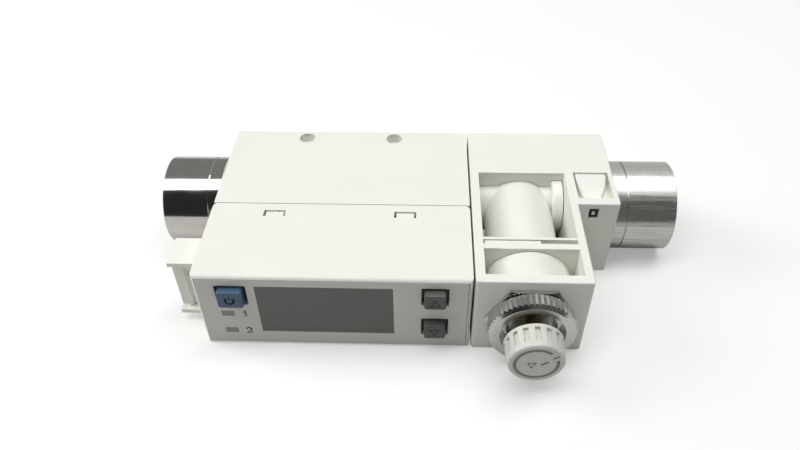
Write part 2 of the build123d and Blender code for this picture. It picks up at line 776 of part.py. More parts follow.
with BuildPart() as valve_housing:
    with BuildSketch(Plane.XY.offset(-top_z)):
        with BuildLine():
            Polyline(
                (valve_x0, front_y),
                (tower_x1, front_y),
                (tower_x1, step_y),
                (valve_x1, step_y),
                (valve_x1, back_y),
                (valve_x0, back_y),
                close=True,
            )
        make_face()
    extrude(amount=thickness)
    outer = valve_housing.edges().filter_by(Axis.Z).filter_by(
        lambda e: abs(e.center().X - tower_x1) > edge_radius or e.center().Y < step_y - edge_radius
    )
    fillet(outer, edge_radius)
    rims = valve_housing.faces().filter_by(Axis.Z).edges()
    fillet(rims, edge_radius / 2)
    with BuildSketch(Plane.XY.offset(-top_z)):
        with Locations((well_mid_x, (well_y0 + well_y1) / 2)):
            Rectangle(well_x1 - cavity_x0, well_y1 - well_y0)
    extrude(amount=thickness, mode=Mode.SUBTRACT)
    # cross bars, closed over the valve body and open below it
    for bar_y1, bar_width in ((rear_bar_y, rear_bar), (front_bar_y1, front_bar)):
        with BuildSketch(facing_front(bar_y1)):
            with Locations((well_mid_x, -bar_drop / 2)):
                Rectangle(well_x1 - cavity_x0, thickness - bar_drop)
            with Locations((knob_x, 0)):
                Circle(saddle_radius, mode=Mode.SUBTRACT)
            with Locations((knob_x, -top_z / 2)):
                Rectangle(2 * saddle_radius, top_z, mode=Mode.SUBTRACT)
        extrude(amount=bar_width)
    # pockets for the valve body in the rear block, open to the underside
    with BuildSketch(facing_front(neck_end + saddle_gap)):
        with Locations((knob_x, 0)):
            Circle(saddle_radius)
        with Locations((knob_x, -top_z / 2)):
            Rectangle(2 * saddle_radius, top_z)
    extrude(amount=neck_end + saddle_gap - well_y1, mode=Mode.SUBTRACT)
    with BuildSketch(facing_outlet(cavity_x0)):
        for circle_y, circle_z, radius in (
            (0, 0, cross_radius),
            (collar_disc_y, collar_disc_z, collar_disc_radius),
        ):
            with Locations((circle_y, circle_z)):
                Circle(radius + saddle_gap)
            with Locations((circle_y, (circle_z - top_z) / 2)):
                Rectangle(2 * (radius + saddle_gap), circle_z + top_z)
    extrude(amount=well_x1 - cavity_x0, mode=Mode.SUBTRACT)
    # way in for the joint tube, way out for the outlet sleeve
    with BuildSketch(facing_outlet(valve_x0)):
        Circle(tube_radius + sleeve_hole_gap)
    extrude(amount=tower_wall, mode=Mode.SUBTRACT)
    with BuildSketch(facing_outlet(well_x1)):
        Circle(cross_radius + sleeve_hole_gap)
    extrude(amount=valve_x1 - well_x1, mode=Mode.SUBTRACT)
    # recess for the outlet key and the window for its catch
    with BuildSketch(Plane.XY.offset(recess_floor - top_z)):
        with Locations(((recess_x0 + recess_x1) / 2, (recess_y0 + recess_y1) / 2)):
            Rectangle(recess_x1 - recess_x0, recess_y1 - recess_y0)
    extrude(amount=thickness, mode=Mode.SUBTRACT)
    with BuildSketch(facing_front(recess_y0)):
        with Locations((catch_window_x, catch_window_z)):
            Rectangle(catch_window_width, catch_window_height)
    extrude(amount=recess_front_wall, mode=Mode.SUBTRACT)
    # hole for the valve guide in the front wall
    with BuildSketch(facing_front(well_y0)):
        with Locations((knob_x, 0)):
            Circle(guide_radius + guide_hole_gap)
    extrude(amount=well_front_wall, mode=Mode.SUBTRACT)
save(valve_housing, "valve_housing")


# Valve body: head, neck with a clip groove, cross tube, and the outlet collar on its foot
head_radius = 9.1
head_gap = 0.1            # head to the walls at its two ends
clip_neck_radius = 6.9
inlet_bore = 3.3
inlet_bore_y = 2.6        # inlet passage behind the flow axis
seat_radius = 2.3
seat_y0 = -3.0
chamber_radius = 4.2
outlet_bore = 2.7
outlet_bore_y = -3.3
outlet_bore_start = 3.2   # from the knob's axis, inside the chamber
guide_plug_radius = 5.5
guide_plug_end = front_y + 10.4
foot_width = 1.8
foot_inset = 0.3          # foot's right face from the cross tube's end
foot_depth = 5.0
collar_disc_x0 = cross_x1 - 2.3
head_y0 = well_y0 + head_gap
head_y1 = front_bar_y0 - head_gap

with BuildPart() as valve_body:
    with BuildSketch(Plane.XY):
        with BuildLine():
            Polyline(
                (knob_x, head_y0),
                (knob_x + head_radius, head_y0),
                (knob_x + head_radius, head_y1),
                (knob_x + neck_radius, head_y1),
                (knob_x + neck_radius, front_bar_y1),
                (knob_x + clip_neck_radius, front_bar_y1),
                (knob_x + clip_neck_radius, rear_bar_y0),
                (knob_x + neck_radius, rear_bar_y0),
                (knob_x + neck_radius, neck_end),
                (knob_x, neck_end),
                close=True,
            )
        make_face()
    revolve(axis=knob_axis)
    with BuildSketch(facing_outlet(cross_x0)):
        Circle(cross_radius)
    extrude(amount=cross_x1 - cross_x0)
    with BuildSketch(Plane.XY.offset(collar_disc_z)) as collar_half:
        with BuildLine():
            Polyline(
                (collar_disc_x0, collar_disc_y),
                (collar_disc_x0, collar_disc_y + collar_disc_radius),
                (cross_x1, collar_disc_y + collar_disc_radius),
                (cross_x1, collar_disc_y),
                close=True,
            )
        make_face()
        rim = collar_half.vertices().group_by(Axis.X)[0].sort_by(Axis.Y)[-1]
        fillet(rim, edge_radius)
    revolve(axis=Axis((0, collar_disc_y, collar_disc_z), (1, 0, 0)))
    with BuildSketch(facing_outlet(cross_x1 - foot_inset - foot_width)):
        with Locations((collar_disc_y - foot_depth / 2, (cross_tube_gap - top_z) / 2)):
            Rectangle(foot_depth, top_z - cross_tube_gap)
    extrude(amount=foot_width)
    # bores: tube socket and inlet passage, seat, chamber, guide socket, outlet passage
    with BuildSketch(facing_outlet(cross_x0)):
        Circle(tube_radius + fit_clearance)
    extrude(amount=tube_entry, mode=Mode.SUBTRACT)
    with BuildSketch(facing_outlet(cross_x0)):
        with Locations((inlet_bore_y, 0)):
            Circle(inlet_bore)
    extrude(amount=knob_x + seat_radius - cross_x0, mode=Mode.SUBTRACT)
    with BuildSketch(facing_outlet(knob_x + outlet_bore_start)):
        with Locations((outlet_bore_y, 0)):
            Circle(outlet_bore)
    extrude(amount=cross_x1 - knob_x - outlet_bore_start, mode=Mode.SUBTRACT)
    with BuildSketch(Plane.XY):
        with BuildLine():
            Polyline(
                (knob_x, inlet_bore_y),
                (knob_x + seat_radius, inlet_bore_y),
                (knob_x + seat_radius, seat_y0),
                (knob_x + chamber_radius, seat_y0),
                (knob_x + chamber_radius, guide_plug_end),
                (knob_x + guide_plug_radius + fit_clearance, guide_plug_end),
                (knob_x + guide_plug_radius + fit_clearance, head_y0),
                (knob_x, head_y0),
                close=True,
            )
        make_face()
    revolve(axis=knob_axis, mode=Mode.SUBTRACT)
save(valve_body, "valve_body")


# Clip in the slot between the bars: one long arm over the neck, one short
valve_clip_plate = 1.0
arm_top = 9.5
arm_bottom = -8.0
arm_end_x = knob_x + 2.2  # long arm reaches this far
short_arm_top = 7.9
arm_inset = 0.3           # clip to the well's walls

with BuildPart() as valve_clip:
    with BuildSketch(facing_front(rear_bar_y0 - (bar_slot - valve_clip_plate) / 2)):
        with Locations((well_mid_x, (arm_top + arm_bottom) / 2)):
            Rectangle(well_x1 - cavity_x0 - 2 * arm_inset, arm_top - arm_bottom)
        with Locations((knob_x, 0)):
            Circle(clip_neck_radius + fit_clearance, mode=Mode.SUBTRACT)
        with Locations((knob_x, arm_bottom / 2)):
            Rectangle(2 * (clip_neck_radius + fit_clearance), -arm_bottom, mode=Mode.SUBTRACT)
        with Locations(((arm_end_x + well_x1) / 2, (arm_top + short_arm_top) / 2)):
            Rectangle(well_x1 - arm_end_x, arm_top - short_arm_top, mode=Mode.SUBTRACT)
    extrude(amount=valve_clip_plate)
save(valve_clip, "valve_clip")


# Outlet sleeve, seal and fitting
sleeve_end_gap = 0.2      # sleeve short of the module's end
sleeve_bore = 4.9
sleeve_bore_length = 6.6
sleeve_inner = 3.3
key_groove_radius = 5.5
key_groove_x = recess_x0 + 4.1
key_groove_width = 2.2
outlet_passage = 3.0
outlet_o_ring_section = 1.2
outlet_o_ring_offset = 4.4
outlet_groove_width = 1.5
sleeve_x0 = cross_x1
sleeve_x1 = valve_x1 - sleeve_end_gap
spigot_radius = sleeve_bore - fit_clearance
outlet_seat_radius = sleeve_bore - outlet_o_ring_section
outlet_seal_x = valve_x1 - outlet_o_ring_offset
spigot_x0 = sleeve_x1 - sleeve_bore_length
turned_outlet_x = valve_x1 + ring_groove_offset - ring_groove_width

with BuildPart() as outlet_sleeve:
    with BuildSketch(Plane.XY):
        with BuildLine():
            Polyline(
                (sleeve_x0, sleeve_inner),
                (sleeve_x0, cross_radius),
                (key_groove_x - key_groove_width / 2, cross_radius),
                (key_groove_x - key_groove_width / 2, key_groove_radius),
                (key_groove_x + key_groove_width / 2, key_groove_radius),
                (key_groove_x + key_groove_width / 2, cross_radius),
                (sleeve_x1, cross_radius),
                (sleeve_x1, sleeve_bore),
                (spigot_x0, sleeve_bore),
                (spigot_x0, sleeve_inner),
                close=True,
            )
        make_face()
    revolve(axis=Axis.X)
save(outlet_sleeve, "outlet_sleeve")

with BuildPart() as outlet_o_ring:
    with BuildSketch(Plane.XY):
        with Locations((outlet_seal_x, outlet_seat_radius + outlet_o_ring_section / 2)):
            Circle(outlet_o_ring_section / 2 - o_ring_slack)
    revolve(axis=Axis.X)
save(outlet_o_ring, "outlet_o_ring")

with BuildPart() as outlet_fitting:
    with BuildSketch(Plane.XY):
        with BuildLine():
            Polyline(
                (outlet_mouth_x, port_radius + port_chamfer),
                (outlet_mouth_x, fitting_radius - fitting_rim),
                (outlet_mouth_x - fitting_rim, fitting_radius),
                (turned_outlet_x + ring_groove_width, fitting_radius),
                (turned_outlet_x + ring_groove_width, fitting_radius - ring_groove_depth),
                (turned_outlet_x, fitting_radius - ring_groove_depth),
                (turned_outlet_x, fitting_radius),
                (valve_x1, fitting_radius),
                (valve_x1, spigot_radius),
                (outlet_seal_x + outlet_groove_width / 2, spigot_radius),
                (outlet_seal_x + outlet_groove_width / 2, outlet_seat_radius),
                (outlet_seal_x - outlet_groove_width / 2, outlet_seat_radius),
                (outlet_seal_x - outlet_groove_width / 2, spigot_radius),
                (spigot_x0, spigot_radius),
                (spigot_x0, outlet_passage),
                (outlet_mouth_x - port_chamfer - port_depth, outlet_passage),
                (outlet_mouth_x - port_chamfer - port_depth, port_radius),
                (outlet_mouth_x - port_chamfer, port_radius),
                close=True,
            )
        make_face()
    revolve(axis=Axis.X)
save(outlet_fitting, "outlet_fitting")


# Outlet key: a tapering, sloping thumb plate over a tongue that sits in the sleeve's groove,
# with a catch that looks out of the housing's window
key_side_gap = 0.2
plate_front_width = 4.4
plate_bottom = 6.5
plate_front_top = 7.6
plate_back_drop = 0.2
tongue_plate = 2.0        # tongue along X
tongue_bottom = -6.0
catch_reach = 1.4         # catch into the window
catch_gap = 0.2

with BuildPart() as outlet_key:
    plate_y0 = recess_y0 + key_side_gap
    plate_y1 = recess_y1 - key_side_gap
    with BuildSketch(Plane.XY.offset(plate_bottom)):
        with BuildLine():
            Polyline(
                (key_groove_x - plate_front_width / 2, plate_y0),
                (key_groove_x + plate_front_width / 2, plate_y0),
                (recess_x1 - key_side_gap, plate_y1),
                (recess_x0 + key_side_gap, plate_y1),
                close=True,
            )
        make_face()
    extrude(amount=top_z - plate_back_drop - plate_bottom)
    with BuildSketch(facing_outlet(recess_x0)):
        with BuildLine():
            Polyline(
                (plate_y1, top_z - plate_back_drop),
                (plate_y0, plate_front_top),
                (plate_y0, top_z),
                (plate_y1, top_z),
                close=True,
            )
        make_face()
    extrude(amount=recess_x1 - recess_x0, mode=Mode.SUBTRACT)
    with BuildSketch(facing_outlet(key_groove_x - tongue_plate / 2)):
        with BuildLine():
            Polyline(
                (plate_y0, plate_bottom),
                (plate_y1, plate_bottom),
                (plate_y1, tongue_bottom),
                (plate_y0, tongue_bottom),
                close=True,
            )
        make_face()
        Circle(key_groove_radius + fit_clearance, mode=Mode.SUBTRACT)
    extrude(amount=tongue_plate)
    with BuildSketch(facing_front(plate_y0)):
        with Locations((catch_window_x, catch_window_z)):
            Rectangle(catch_window_width - 2 * catch_gap, catch_window_height - 2 * catch_gap)
    extrude(amount=key_side_gap + catch_reach)
save(outlet_key, "outlet_key")


# Valve guide: threaded sleeve through the tower's front wall, hollow at its mouth
guide_reach = 2.6         # past the front face
guide_mouth_radius = 5.0
guide_mouth_depth = 3.5
stem_radius = 2.0
guide_y0 = front_y - guide_reach
guide_seat_y = guide_plug_end

with BuildPart() as valve_guide:
    with BuildSketch(Plane.XY):
        with BuildLine():
            Polyline(
                (knob_x + guide_mouth_radius, guide_y0),
                (knob_x + guide_radius, guide_y0),
                (knob_x + guide_radius, head_y0),
                (knob_x + guide_plug_radius, head_y0),
                (knob_x + guide_plug_radius, guide_seat_y),
                (knob_x + stem_radius + fit_clearance, guide_seat_y),
                (knob_x + stem_radius + fit_clearance, guide_y0 + guide_mouth_depth),
                (knob_x + guide_mouth_radius, guide_y0 + guide_mouth_depth),
                close=True,
            )
        make_face()
    revolve(axis=knob_axis)
save(valve_guide, "valve_guide")


# Panel nut on the guide, flat against the tower
nut_flats = 15.8
nut_thickness = 0.9
thread_gap = 0.05

with BuildPart() as panel_nut:
    with BuildSketch(facing_front(front_y)):
        with Locations((knob_x, 0)):
            RegularPolygon(nut_flats / 2, 6, major_radius=False, rotation=30)
            Circle(guide_radius + thread_gap, mode=Mode.SUBTRACT)
    extrude(amount=nut_thickness)
save(panel_nut, "panel_nut")


# Lock ring with a straight knurl, running on the guide's thread
ring_radius = 8.6
ring_thickness = 3.4
knurl_teeth = 50
knurl_depth = 0.32
ring_front_chamfer = 0.9  # across the rim
ring_front_slope = 0.6    # along the axis
ring_back_chamfer = 0.4
ring_y1 = front_y - nut_thickness - piece_gap
ring_y0 = ring_y1 - ring_thickness

with BuildPart() as lock_ring:
    with BuildSketch(facing_front(ring_y1)):
        with Locations((knob_x, 0)):
            Circle(ring_radius)
            with PolarLocations(ring_radius, knurl_teeth):
                RegularPolygon(knurl_depth, 4, major_radius=True, mode=Mode.SUBTRACT)
            Circle(guide_radius + thread_gap, mode=Mode.SUBTRACT)
    extrude(amount=ring_thickness)
    with BuildSketch(Plane.XY):
        with BuildLine():
            Polyline(
                (knob_x, ring_y0),
                (knob_x + ring_radius - ring_front_chamfer, ring_y0),
                (knob_x + ring_radius, ring_y0 + ring_front_slope),
                (knob_x + ring_radius, ring_y1 - ring_back_chamfer),
                (knob_x + ring_radius - ring_back_chamfer, ring_y1),
                (knob_x, ring_y1),
                close=True,
            )
        make_face()
    revolve(axis=knob_axis, mode=Mode.INTERSECT)
save(lock_ring, "lock_ring")


# Needle: stem through the guide, seal groove, and a cone that closes on the seat
needle_tip_radius = 0.6
cone_radius = 2.8
cone_length = 5.0
closed_gap = 0.05         # cone to the seat's edge when closed
needle_seal_section = 1.0
shoulder_length = 3.2
stem_front_radius = 1.5
stem_front_length = 3.0
knob_reach = 6.3          # tower face to the knob's back rim
knob_length = 5.0
knob_step = 0.4           # stem's step inside the knob's back rim
close_travel = 2.5
open_travel = 1.5
knob_y1 = front_y - knob_reach
knob_y0 = knob_y1 - knob_length
stem_step_y = knob_y1 - knob_step
stem_end_y = stem_step_y - stem_front_length
shoulder_y0 = guide_seat_y + open_travel + piece_gap
needle_seal_y = shoulder_y0 + shoulder_length / 2
closing_share = (seat_radius - closed_gap - needle_tip_radius) / (cone_radius - needle_tip_radius)
needle_tip_y = seat_y0 - close_travel + cone_length * closing_share
seal_groove_radius = chamber_radius - needle_seal_section
bore_slide_gap = 0.06
cone_base_y = needle_tip_y - cone_length

with BuildPart() as needle:
    with BuildSketch(Plane.XY):
        with BuildLine():
            Polyline(
                (knob_x, stem_end_y),
                (knob_x + stem_front_radius, stem_end_y),
                (knob_x + stem_front_radius, stem_step_y),
                (knob_x + stem_radius, stem_step_y),
                (knob_x + stem_radius, shoulder_y0),
                (knob_x + chamber_radius - bore_slide_gap, shoulder_y0),
                (knob_x + chamber_radius - bore_slide_gap, needle_seal_y - needle_seal_section / 2),
                (knob_x + seal_groove_radius, needle_seal_y - needle_seal_section / 2),
                (knob_x + seal_groove_radius, needle_seal_y + needle_seal_section / 2),
                (knob_x + chamber_radius - bore_slide_gap, needle_seal_y + needle_seal_section / 2),
                (knob_x + chamber_radius - bore_slide_gap, shoulder_y0 + shoulder_length),
                (knob_x + stem_radius, shoulder_y0 + shoulder_length),
                (knob_x + stem_radius, cone_base_y),
                (knob_x + cone_radius, cone_base_y),
                (knob_x + needle_tip_radius, needle_tip_y),
                (knob_x, needle_tip_y),
                close=True,
            )
        make_face()
    revolve(axis=knob_axis)
save(needle, "needle")

with BuildPart() as needle_o_ring:
    with BuildSketch(Plane.XY):
        with Locations((knob_x + seal_groove_radius + needle_seal_section / 2, needle_seal_y)):
            Circle(needle_seal_section / 2 - bore_slide_gap)
    revolve(axis=knob_axis)
save(needle_o_ring, "needle_o_ring")


# Adjusting knob: a tapered cap with closed flutes, a rounded rim and a C-shaped groove
knob_radius = 5.75
knob_front_radius = 5.35
knob_rim = 0.5
knob_hollow_radius = 4.6
knob_hollow_depth = 2.2
knob_hub_radius = 2.8
flute_count = 16
flute_width = 1.1
flute_depth = 0.32
flute_back = 0.7          # solid rim behind the flutes
flute_front = 1.3         # solid rim ahead of them
groove_radius = 4.07
groove_width = 0.55
groove_depth = 0.3
groove_open_from = 15.0   # open part of the C, in degrees from +X
groove_open_to = 62.0

with BuildPart() as knob:
    with BuildSketch(Plane.XY):
        with BuildLine():
            Polyline(
                (knob_x, knob_y0),
                (knob_x + knob_front_radius, knob_y0),
                (knob_x + knob_radius, knob_y1),
                (knob_x + knob_hollow_radius, knob_y1),
                (knob_x + knob_hollow_radius, knob_y1 - knob_hollow_depth),
                (knob_x + knob_hub_radius, knob_y1 - knob_hollow_depth),
                (knob_x + knob_hub_radius, knob_y1),
                (knob_x, knob_y1),
                close=True,
            )
        make_face()
    revolve(axis=knob_axis)
    fillet(knob.edges().group_by(Axis.Y)[0], knob_rim)
    for index in range(flute_count):
        turn = radians(index * 360 / flute_count)
        outward = Vector(cos(turn), 0, sin(turn))
        flute_plane = Plane(
            origin=Vector(knob_x, (knob_y0 + knob_y1) / 2, 0) + outward * (knob_front_radius - flute_depth),
            x_dir=(0, 1, 0),
            z_dir=outward,
        )
        with BuildSketch(flute_plane):
            with Locations(((flute_front - flute_back) / 2, 0)):
                Rectangle(knob_length - flute_front - flute_back, flute_width)
        extrude(amount=knob_radius, mode=Mode.SUBTRACT)
    with BuildSketch(facing_front(knob_y0)):
        with Locations((knob_x, 0)):
            Circle(groove_radius + groove_width / 2)
            Circle(groove_radius - groove_width / 2, mode=Mode.SUBTRACT)
        with BuildLine():
            Polyline(
                (knob_x, 0),
                (
                    knob_x + 2 * groove_radius * cos(radians(groove_open_from)),
                    2 * groove_radius * sin(radians(groove_open_from)),
                ),
                (
                    knob_x + 2 * groove_radius * cos(radians(groove_open_to)),
                    2 * groove_radius * sin(radians(groove_open_to)),
                ),
                close=True,
            )
        make_face(mode=Mode.SUBTRACT)
    extrude(amount=-groove_depth, mode=Mode.SUBTRACT)
    with BuildSketch(facing_front(knob_y1)):
        with Locations((knob_x, 0)):
            Circle(stem_front_radius + fit_clearance)
    extrude(amount=knob_y1 - stem_end_y + piece_gap, mode=Mode.SUBTRACT)
    with BuildSketch(facing_front(knob_y1)):
        with Locations((knob_x, 0)):
            Circle(stem_radius + fit_clearance)
    extrude(amount=knob_y1 - stem_step_y + piece_gap, mode=Mode.SUBTRACT)
save(knob, "knob")
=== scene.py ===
# %% [markdown]
# # A digital flow switch, dressed for its photograph
#
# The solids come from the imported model, and finer pieces stand in for four of them. This script
# gives each one its finish, adds the fine pieces that a solid model leaves out, such as threads
# and printed marks, and sets the light and the camera. The model's own frame has X with the
# flow, Y from the display to the back and Z up. The camera and the light are placed in metres,
# and the fine pieces in millimetres.

import json
import math

import bmesh
import bpy
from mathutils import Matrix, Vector


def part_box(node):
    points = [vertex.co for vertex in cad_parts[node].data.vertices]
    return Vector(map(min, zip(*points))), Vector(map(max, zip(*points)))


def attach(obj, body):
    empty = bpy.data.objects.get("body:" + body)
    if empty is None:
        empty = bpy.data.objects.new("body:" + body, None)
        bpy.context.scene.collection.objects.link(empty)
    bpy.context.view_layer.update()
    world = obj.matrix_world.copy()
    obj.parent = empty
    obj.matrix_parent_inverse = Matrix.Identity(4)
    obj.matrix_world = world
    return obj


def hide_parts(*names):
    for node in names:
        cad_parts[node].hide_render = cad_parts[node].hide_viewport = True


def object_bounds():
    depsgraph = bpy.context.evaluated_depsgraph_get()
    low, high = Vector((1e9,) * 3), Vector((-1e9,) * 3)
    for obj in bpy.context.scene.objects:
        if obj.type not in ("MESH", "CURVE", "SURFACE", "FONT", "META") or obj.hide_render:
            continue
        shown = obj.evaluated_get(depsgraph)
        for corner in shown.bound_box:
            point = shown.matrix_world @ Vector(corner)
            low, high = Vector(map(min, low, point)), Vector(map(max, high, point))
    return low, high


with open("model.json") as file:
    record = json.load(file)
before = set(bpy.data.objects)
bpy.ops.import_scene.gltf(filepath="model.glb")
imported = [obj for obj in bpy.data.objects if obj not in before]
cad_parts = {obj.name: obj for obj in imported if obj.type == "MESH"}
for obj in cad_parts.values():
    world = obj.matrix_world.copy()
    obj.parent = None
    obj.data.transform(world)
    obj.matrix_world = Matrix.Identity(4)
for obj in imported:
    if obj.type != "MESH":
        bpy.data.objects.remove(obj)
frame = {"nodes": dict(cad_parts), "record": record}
scene = bpy.context.scene
nodes = frame["nodes"]
cad_box = [list(corner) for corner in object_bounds()]
print("solids:", len(nodes), "box:", cad_box)

# %% [markdown]
# ## The camera
#
# A photograph taken close up has strong perspective, so the camera stands where the
# photographer's stood, about 15 cm from the middle of the switch, and looks down on it at 43
# degrees. Its place was solved from the picture's straight edges and the round ends of the two
# fittings.

# %% Stand the camera
bpy.ops.object.camera_add(
    location=(0.05782, -0.12596, 0.10845),
    rotation=[math.radians(angle) for angle in (47.4133, 0.7562, 2.0557)],
)
camera = bpy.context.object
camera.name = "camera"
camera.data.sensor_width = 36
camera.data.lens = 31.915
camera.data.clip_start = 0.001
scene.camera = camera
print("lens", camera.data.lens)

# %% [markdown]
# ## Finishes as sums
#
# A node material is easier to read as arithmetic. `Finish` holds one material with a Principled
# shader. Its `node` method adds any node, and each output comes back as a `Signal`, which
# takes + - and * and adds Math nodes for them.

# %% A small language for shader nodes
class Signal:
    """One output of a node, which takes part in sums."""

    def __init__(self, finish, output):
        self.finish = finish
        self.output = output

    def maths(self, operation, first, second=0.0, clamp=False):
        settings = {"operation": operation, "use_clamp": clamp}
        return self.finish.node("ShaderNodeMath", settings, {0: first, 1: second})

    def __add__(self, other):
        return self.maths("ADD", self, other)

    def __radd__(self, other):
        return self.maths("ADD", other, self)

    def __sub__(self, other):
        return self.maths("SUBTRACT", self, other)

    def __mul__(self, other):
        return self.maths("MULTIPLY", self, other)

    def clamped(self):
        return self.maths("ADD", self, 0.0, clamp=True)


class Finish:
    """A material made of one Principled shader and the nodes that feed it."""

    def __init__(self, name, **constants):
        self.material = bpy.data.materials.new(name)
        self.material.use_nodes = True
        self.tree = self.material.node_tree
        self.shader = self.tree.nodes["Principled BSDF"]
        for socket, value in constants.items():
            self.shader.inputs[socket.replace("_", " ")].default_value = value

    def node(self, kind, settings=None, values=None, out=0):
        """Add a node: its settings first, then numbers or links for its sockets."""
        made = self.tree.nodes.new(kind)
        for key, value in (settings or {}).items():
            setattr(made, key, value)
        for socket, value in (values or {}).items():
            if isinstance(value, Signal):
                self.tree.links.new(value.output, made.inputs[socket])
            else:
                made.inputs[socket].default_value = value
        return Signal(self, made.outputs[out])

    def feed(self, socket, signal):
        """Link a signal to one of the shader's own inputs."""
        self.tree.links.new(signal.output, self.shader.inputs[socket])

    def place(self):
        """The point on the piece, in metres of the model's frame."""
        return self.node("ShaderNodeTexCoord", out="Object")

    def noise(self, scale, detail=2.0, stretch=(1, 1, 1)):
        """Soft random values about 0.5, with scale in cells per metre."""
        where = self.node("ShaderNodeMapping", None, {"Vector": self.place(), "Scale": stretch})
        values = {"Vector": where, "Scale": scale, "Detail": detail}
        return self.node("ShaderNodeTexNoise", None, values)

    def mix(self, share, first, second):
        """Blend two colours."""
        values = {0: share, 6: first, 7: second}
        return self.node("ShaderNodeMix", {"data_type": "RGBA"}, values, out=2)

    def bump(self, height, distance, strength=1.0):
        """Turn a height signal into a normal for the shader."""
        values = {"Height": height, "Distance": distance, "Strength": strength}
        self.feed("Normal", self.node("ShaderNodeBump", None, values))


def rgb(red, green, blue):
    """A colour with full alpha."""
    return (red, green, blue, 1.0)


# %% [markdown]
# ## Moulded plastic
#
# The housings are a warm off-white plastic with a fine spark-eroded texture. A close grain in
# the bump breaks up the highlight, and a slow drift in the colour keeps big faces from looking
# flat. The same recipe with other colours makes the panel and the keys.

# %% Recipes for plastic
def moulded(name, colour, roughness, grain=3200, depth=0.000012, drift=0.035):
    """Textured moulding: close grain in the bump, slow drift in colour and gloss."""
    finish = Finish(name, Specular_IOR_Level=0.5)
    slow = finish.noise(90, 3)
    light = rgb(*(min(1.0, part * (1 + drift)) for part in colour))
    dark = rgb(*(part * (1 - drift) for part in colour))
    finish.feed("Base Color", finish.mix(slow, dark, light))
    finish.feed("Roughness", roughness + (finish.noise(400, 2) - 0.5) * 0.12)
    finish.bump(finish.noise(grain, 3), depth, 0.5)
    return finish.material


white_case = moulded("white_case", (0.80, 0.80, 0.745), 0.50)
white_satin = moulded("white_satin", (0.81, 0.805, 0.755), 0.36, grain=1500, depth=0.000006)
panel_grey = moulded("panel_grey", (0.64, 0.64, 0.60), 0.55)
key_blue = moulded("key_blue", (0.05, 0.105, 0.18), 0.42)
key_grey = moulded("key_grey", (0.085, 0.09, 0.08), 0.45)
lens_grey = moulded("lens_grey", (0.25, 0.25, 0.235), 0.40)
window_dark = moulded("window_dark", (0.12, 0.12, 0.112), 0.36, grain=5200, depth=0.000006, drift=0.16)
black_plastic = moulded("black_plastic", (0.03, 0.03, 0.03), 0.45)
board_green = moulded("board_green", (0.03, 0.16, 0.07), 0.38)
seal_rubber = moulded("seal_rubber", (0.02, 0.02, 0.02), 0.6)
print("plastics made")


# %% [markdown]
# ## Plated metal
#
# Both fittings are nickel plated. The inlet's is bright, and the outlet's keeps the marks of
# its turning. A mirror-like cylinder shows bands of the room round it, so its look comes as
# much from the cards in the light as from the finish. Here the finish adds faint smears to the
# gloss, and streaks along the axis where the plating is dull.

# %% Recipes for metal
def plated(name, colour, roughness, streaks=0.0, turned=0.0, axis="X"):
    """Bright metal: smears in the gloss, streaks along the axis, turning marks across it."""
    finish = Finish(name, Metallic=1.0)
    along = {"X": (0.03, 1, 1), "Y": (1, 0.03, 1)}[axis]
    across = {"X": (1, 0.02, 0.02), "Y": (0.02, 1, 0.02)}[axis]
    smear = finish.noise(260, 4)
    streak = finish.noise(2600, 3, along)
    ridge = finish.noise(5200, 2, across)
    dull = rgb(*(part * 0.72 for part in colour))
    share = ((streak - 0.42) * 3.0 * streaks + (smear - 0.5) * 0.3).clamped()
    finish.feed("Base Color", finish.mix(share, rgb(*colour), dull))
    finish.feed("Roughness", (roughness + (smear - 0.45) * 0.08 + share * 0.25).clamped())
    finish.bump(streak * streaks + ridge * turned, 0.00002, 0.6)
    return finish.material


bright_nickel = plated("bright_nickel", (0.62, 0.60, 0.57), 0.10)
streaked_nickel = plated("streaked_nickel", (0.66, 0.65, 0.62), 0.24, streaks=0.9)
turned_nickel = plated("turned_nickel", (0.60, 0.60, 0.58), 0.20, turned=0.6, axis="Y")
sheet_steel = plated("sheet_steel", (0.55, 0.55, 0.54), 0.28, streaks=0.2)
brass_tinned = plated("brass_tinned", (0.66, 0.58, 0.42), 0.22, turned=0.4, axis="Y")
print("metals made")

# %% Give every solid its finish
finish_of_slot = {
    "white_case": white_case,
    "white_satin": white_satin,
    "panel_grey": panel_grey,
    "window_dark": window_dark,
    "key_blue": key_blue,
    "key_grey": key_grey,
    "lens_grey": lens_grey,
    "bright_nickel": bright_nickel,
    "satin_nickel": turned_nickel,
    "steel": sheet_steel,
    "brass": brass_tinned,
    "seal_rubber": seal_rubber,
    "board_green": board_green,
    "black_plastic": black_plastic,
}
slot_of_node = {entry["node"]: entry["material_slot"] for entry in frame["record"]["subparts"]}
# The knob is the case's white plastic, given a darker copy here: the lower colour is painted shade for
# the dimmer light on the knob's faces.
knob_white_painted_shade = moulded("knob_white_painted_shade", (0.62, 0.62, 0.575), 0.42)
for name, solid in nodes.items():
    solid.data.materials.clear()
    slot_finish = finish_of_slot[slot_of_node[name]]
    solid.data.materials.append(knob_white_painted_shade if name == "knob" else slot_finish)

# %% [markdown]
# ## Small shapes that every detail uses
#
# `lathe` turns a profile about an axis, `helix` winds a thread's ridge, `plate` gives a flat
# outline some thickness, and `strokes` lays printed lines on a front face. Each rides on the
# body that carries it. The thread's foot and crest are half widths, as shares of its pitch.

# %% Helpers for new pieces
MM = 0.001
thread_foot, thread_crest, thread_sink = 0.45, 0.08, 0.02


def new_object(name, shape, finish):
    """Make an object of a bmesh and give it its finish."""
    mesh = bpy.data.meshes.new(name)
    shape.to_mesh(mesh)
    shape.free()
    made = bpy.data.objects.new(name, mesh)
    scene.collection.objects.link(made)
    mesh.materials.append(finish)
    return made


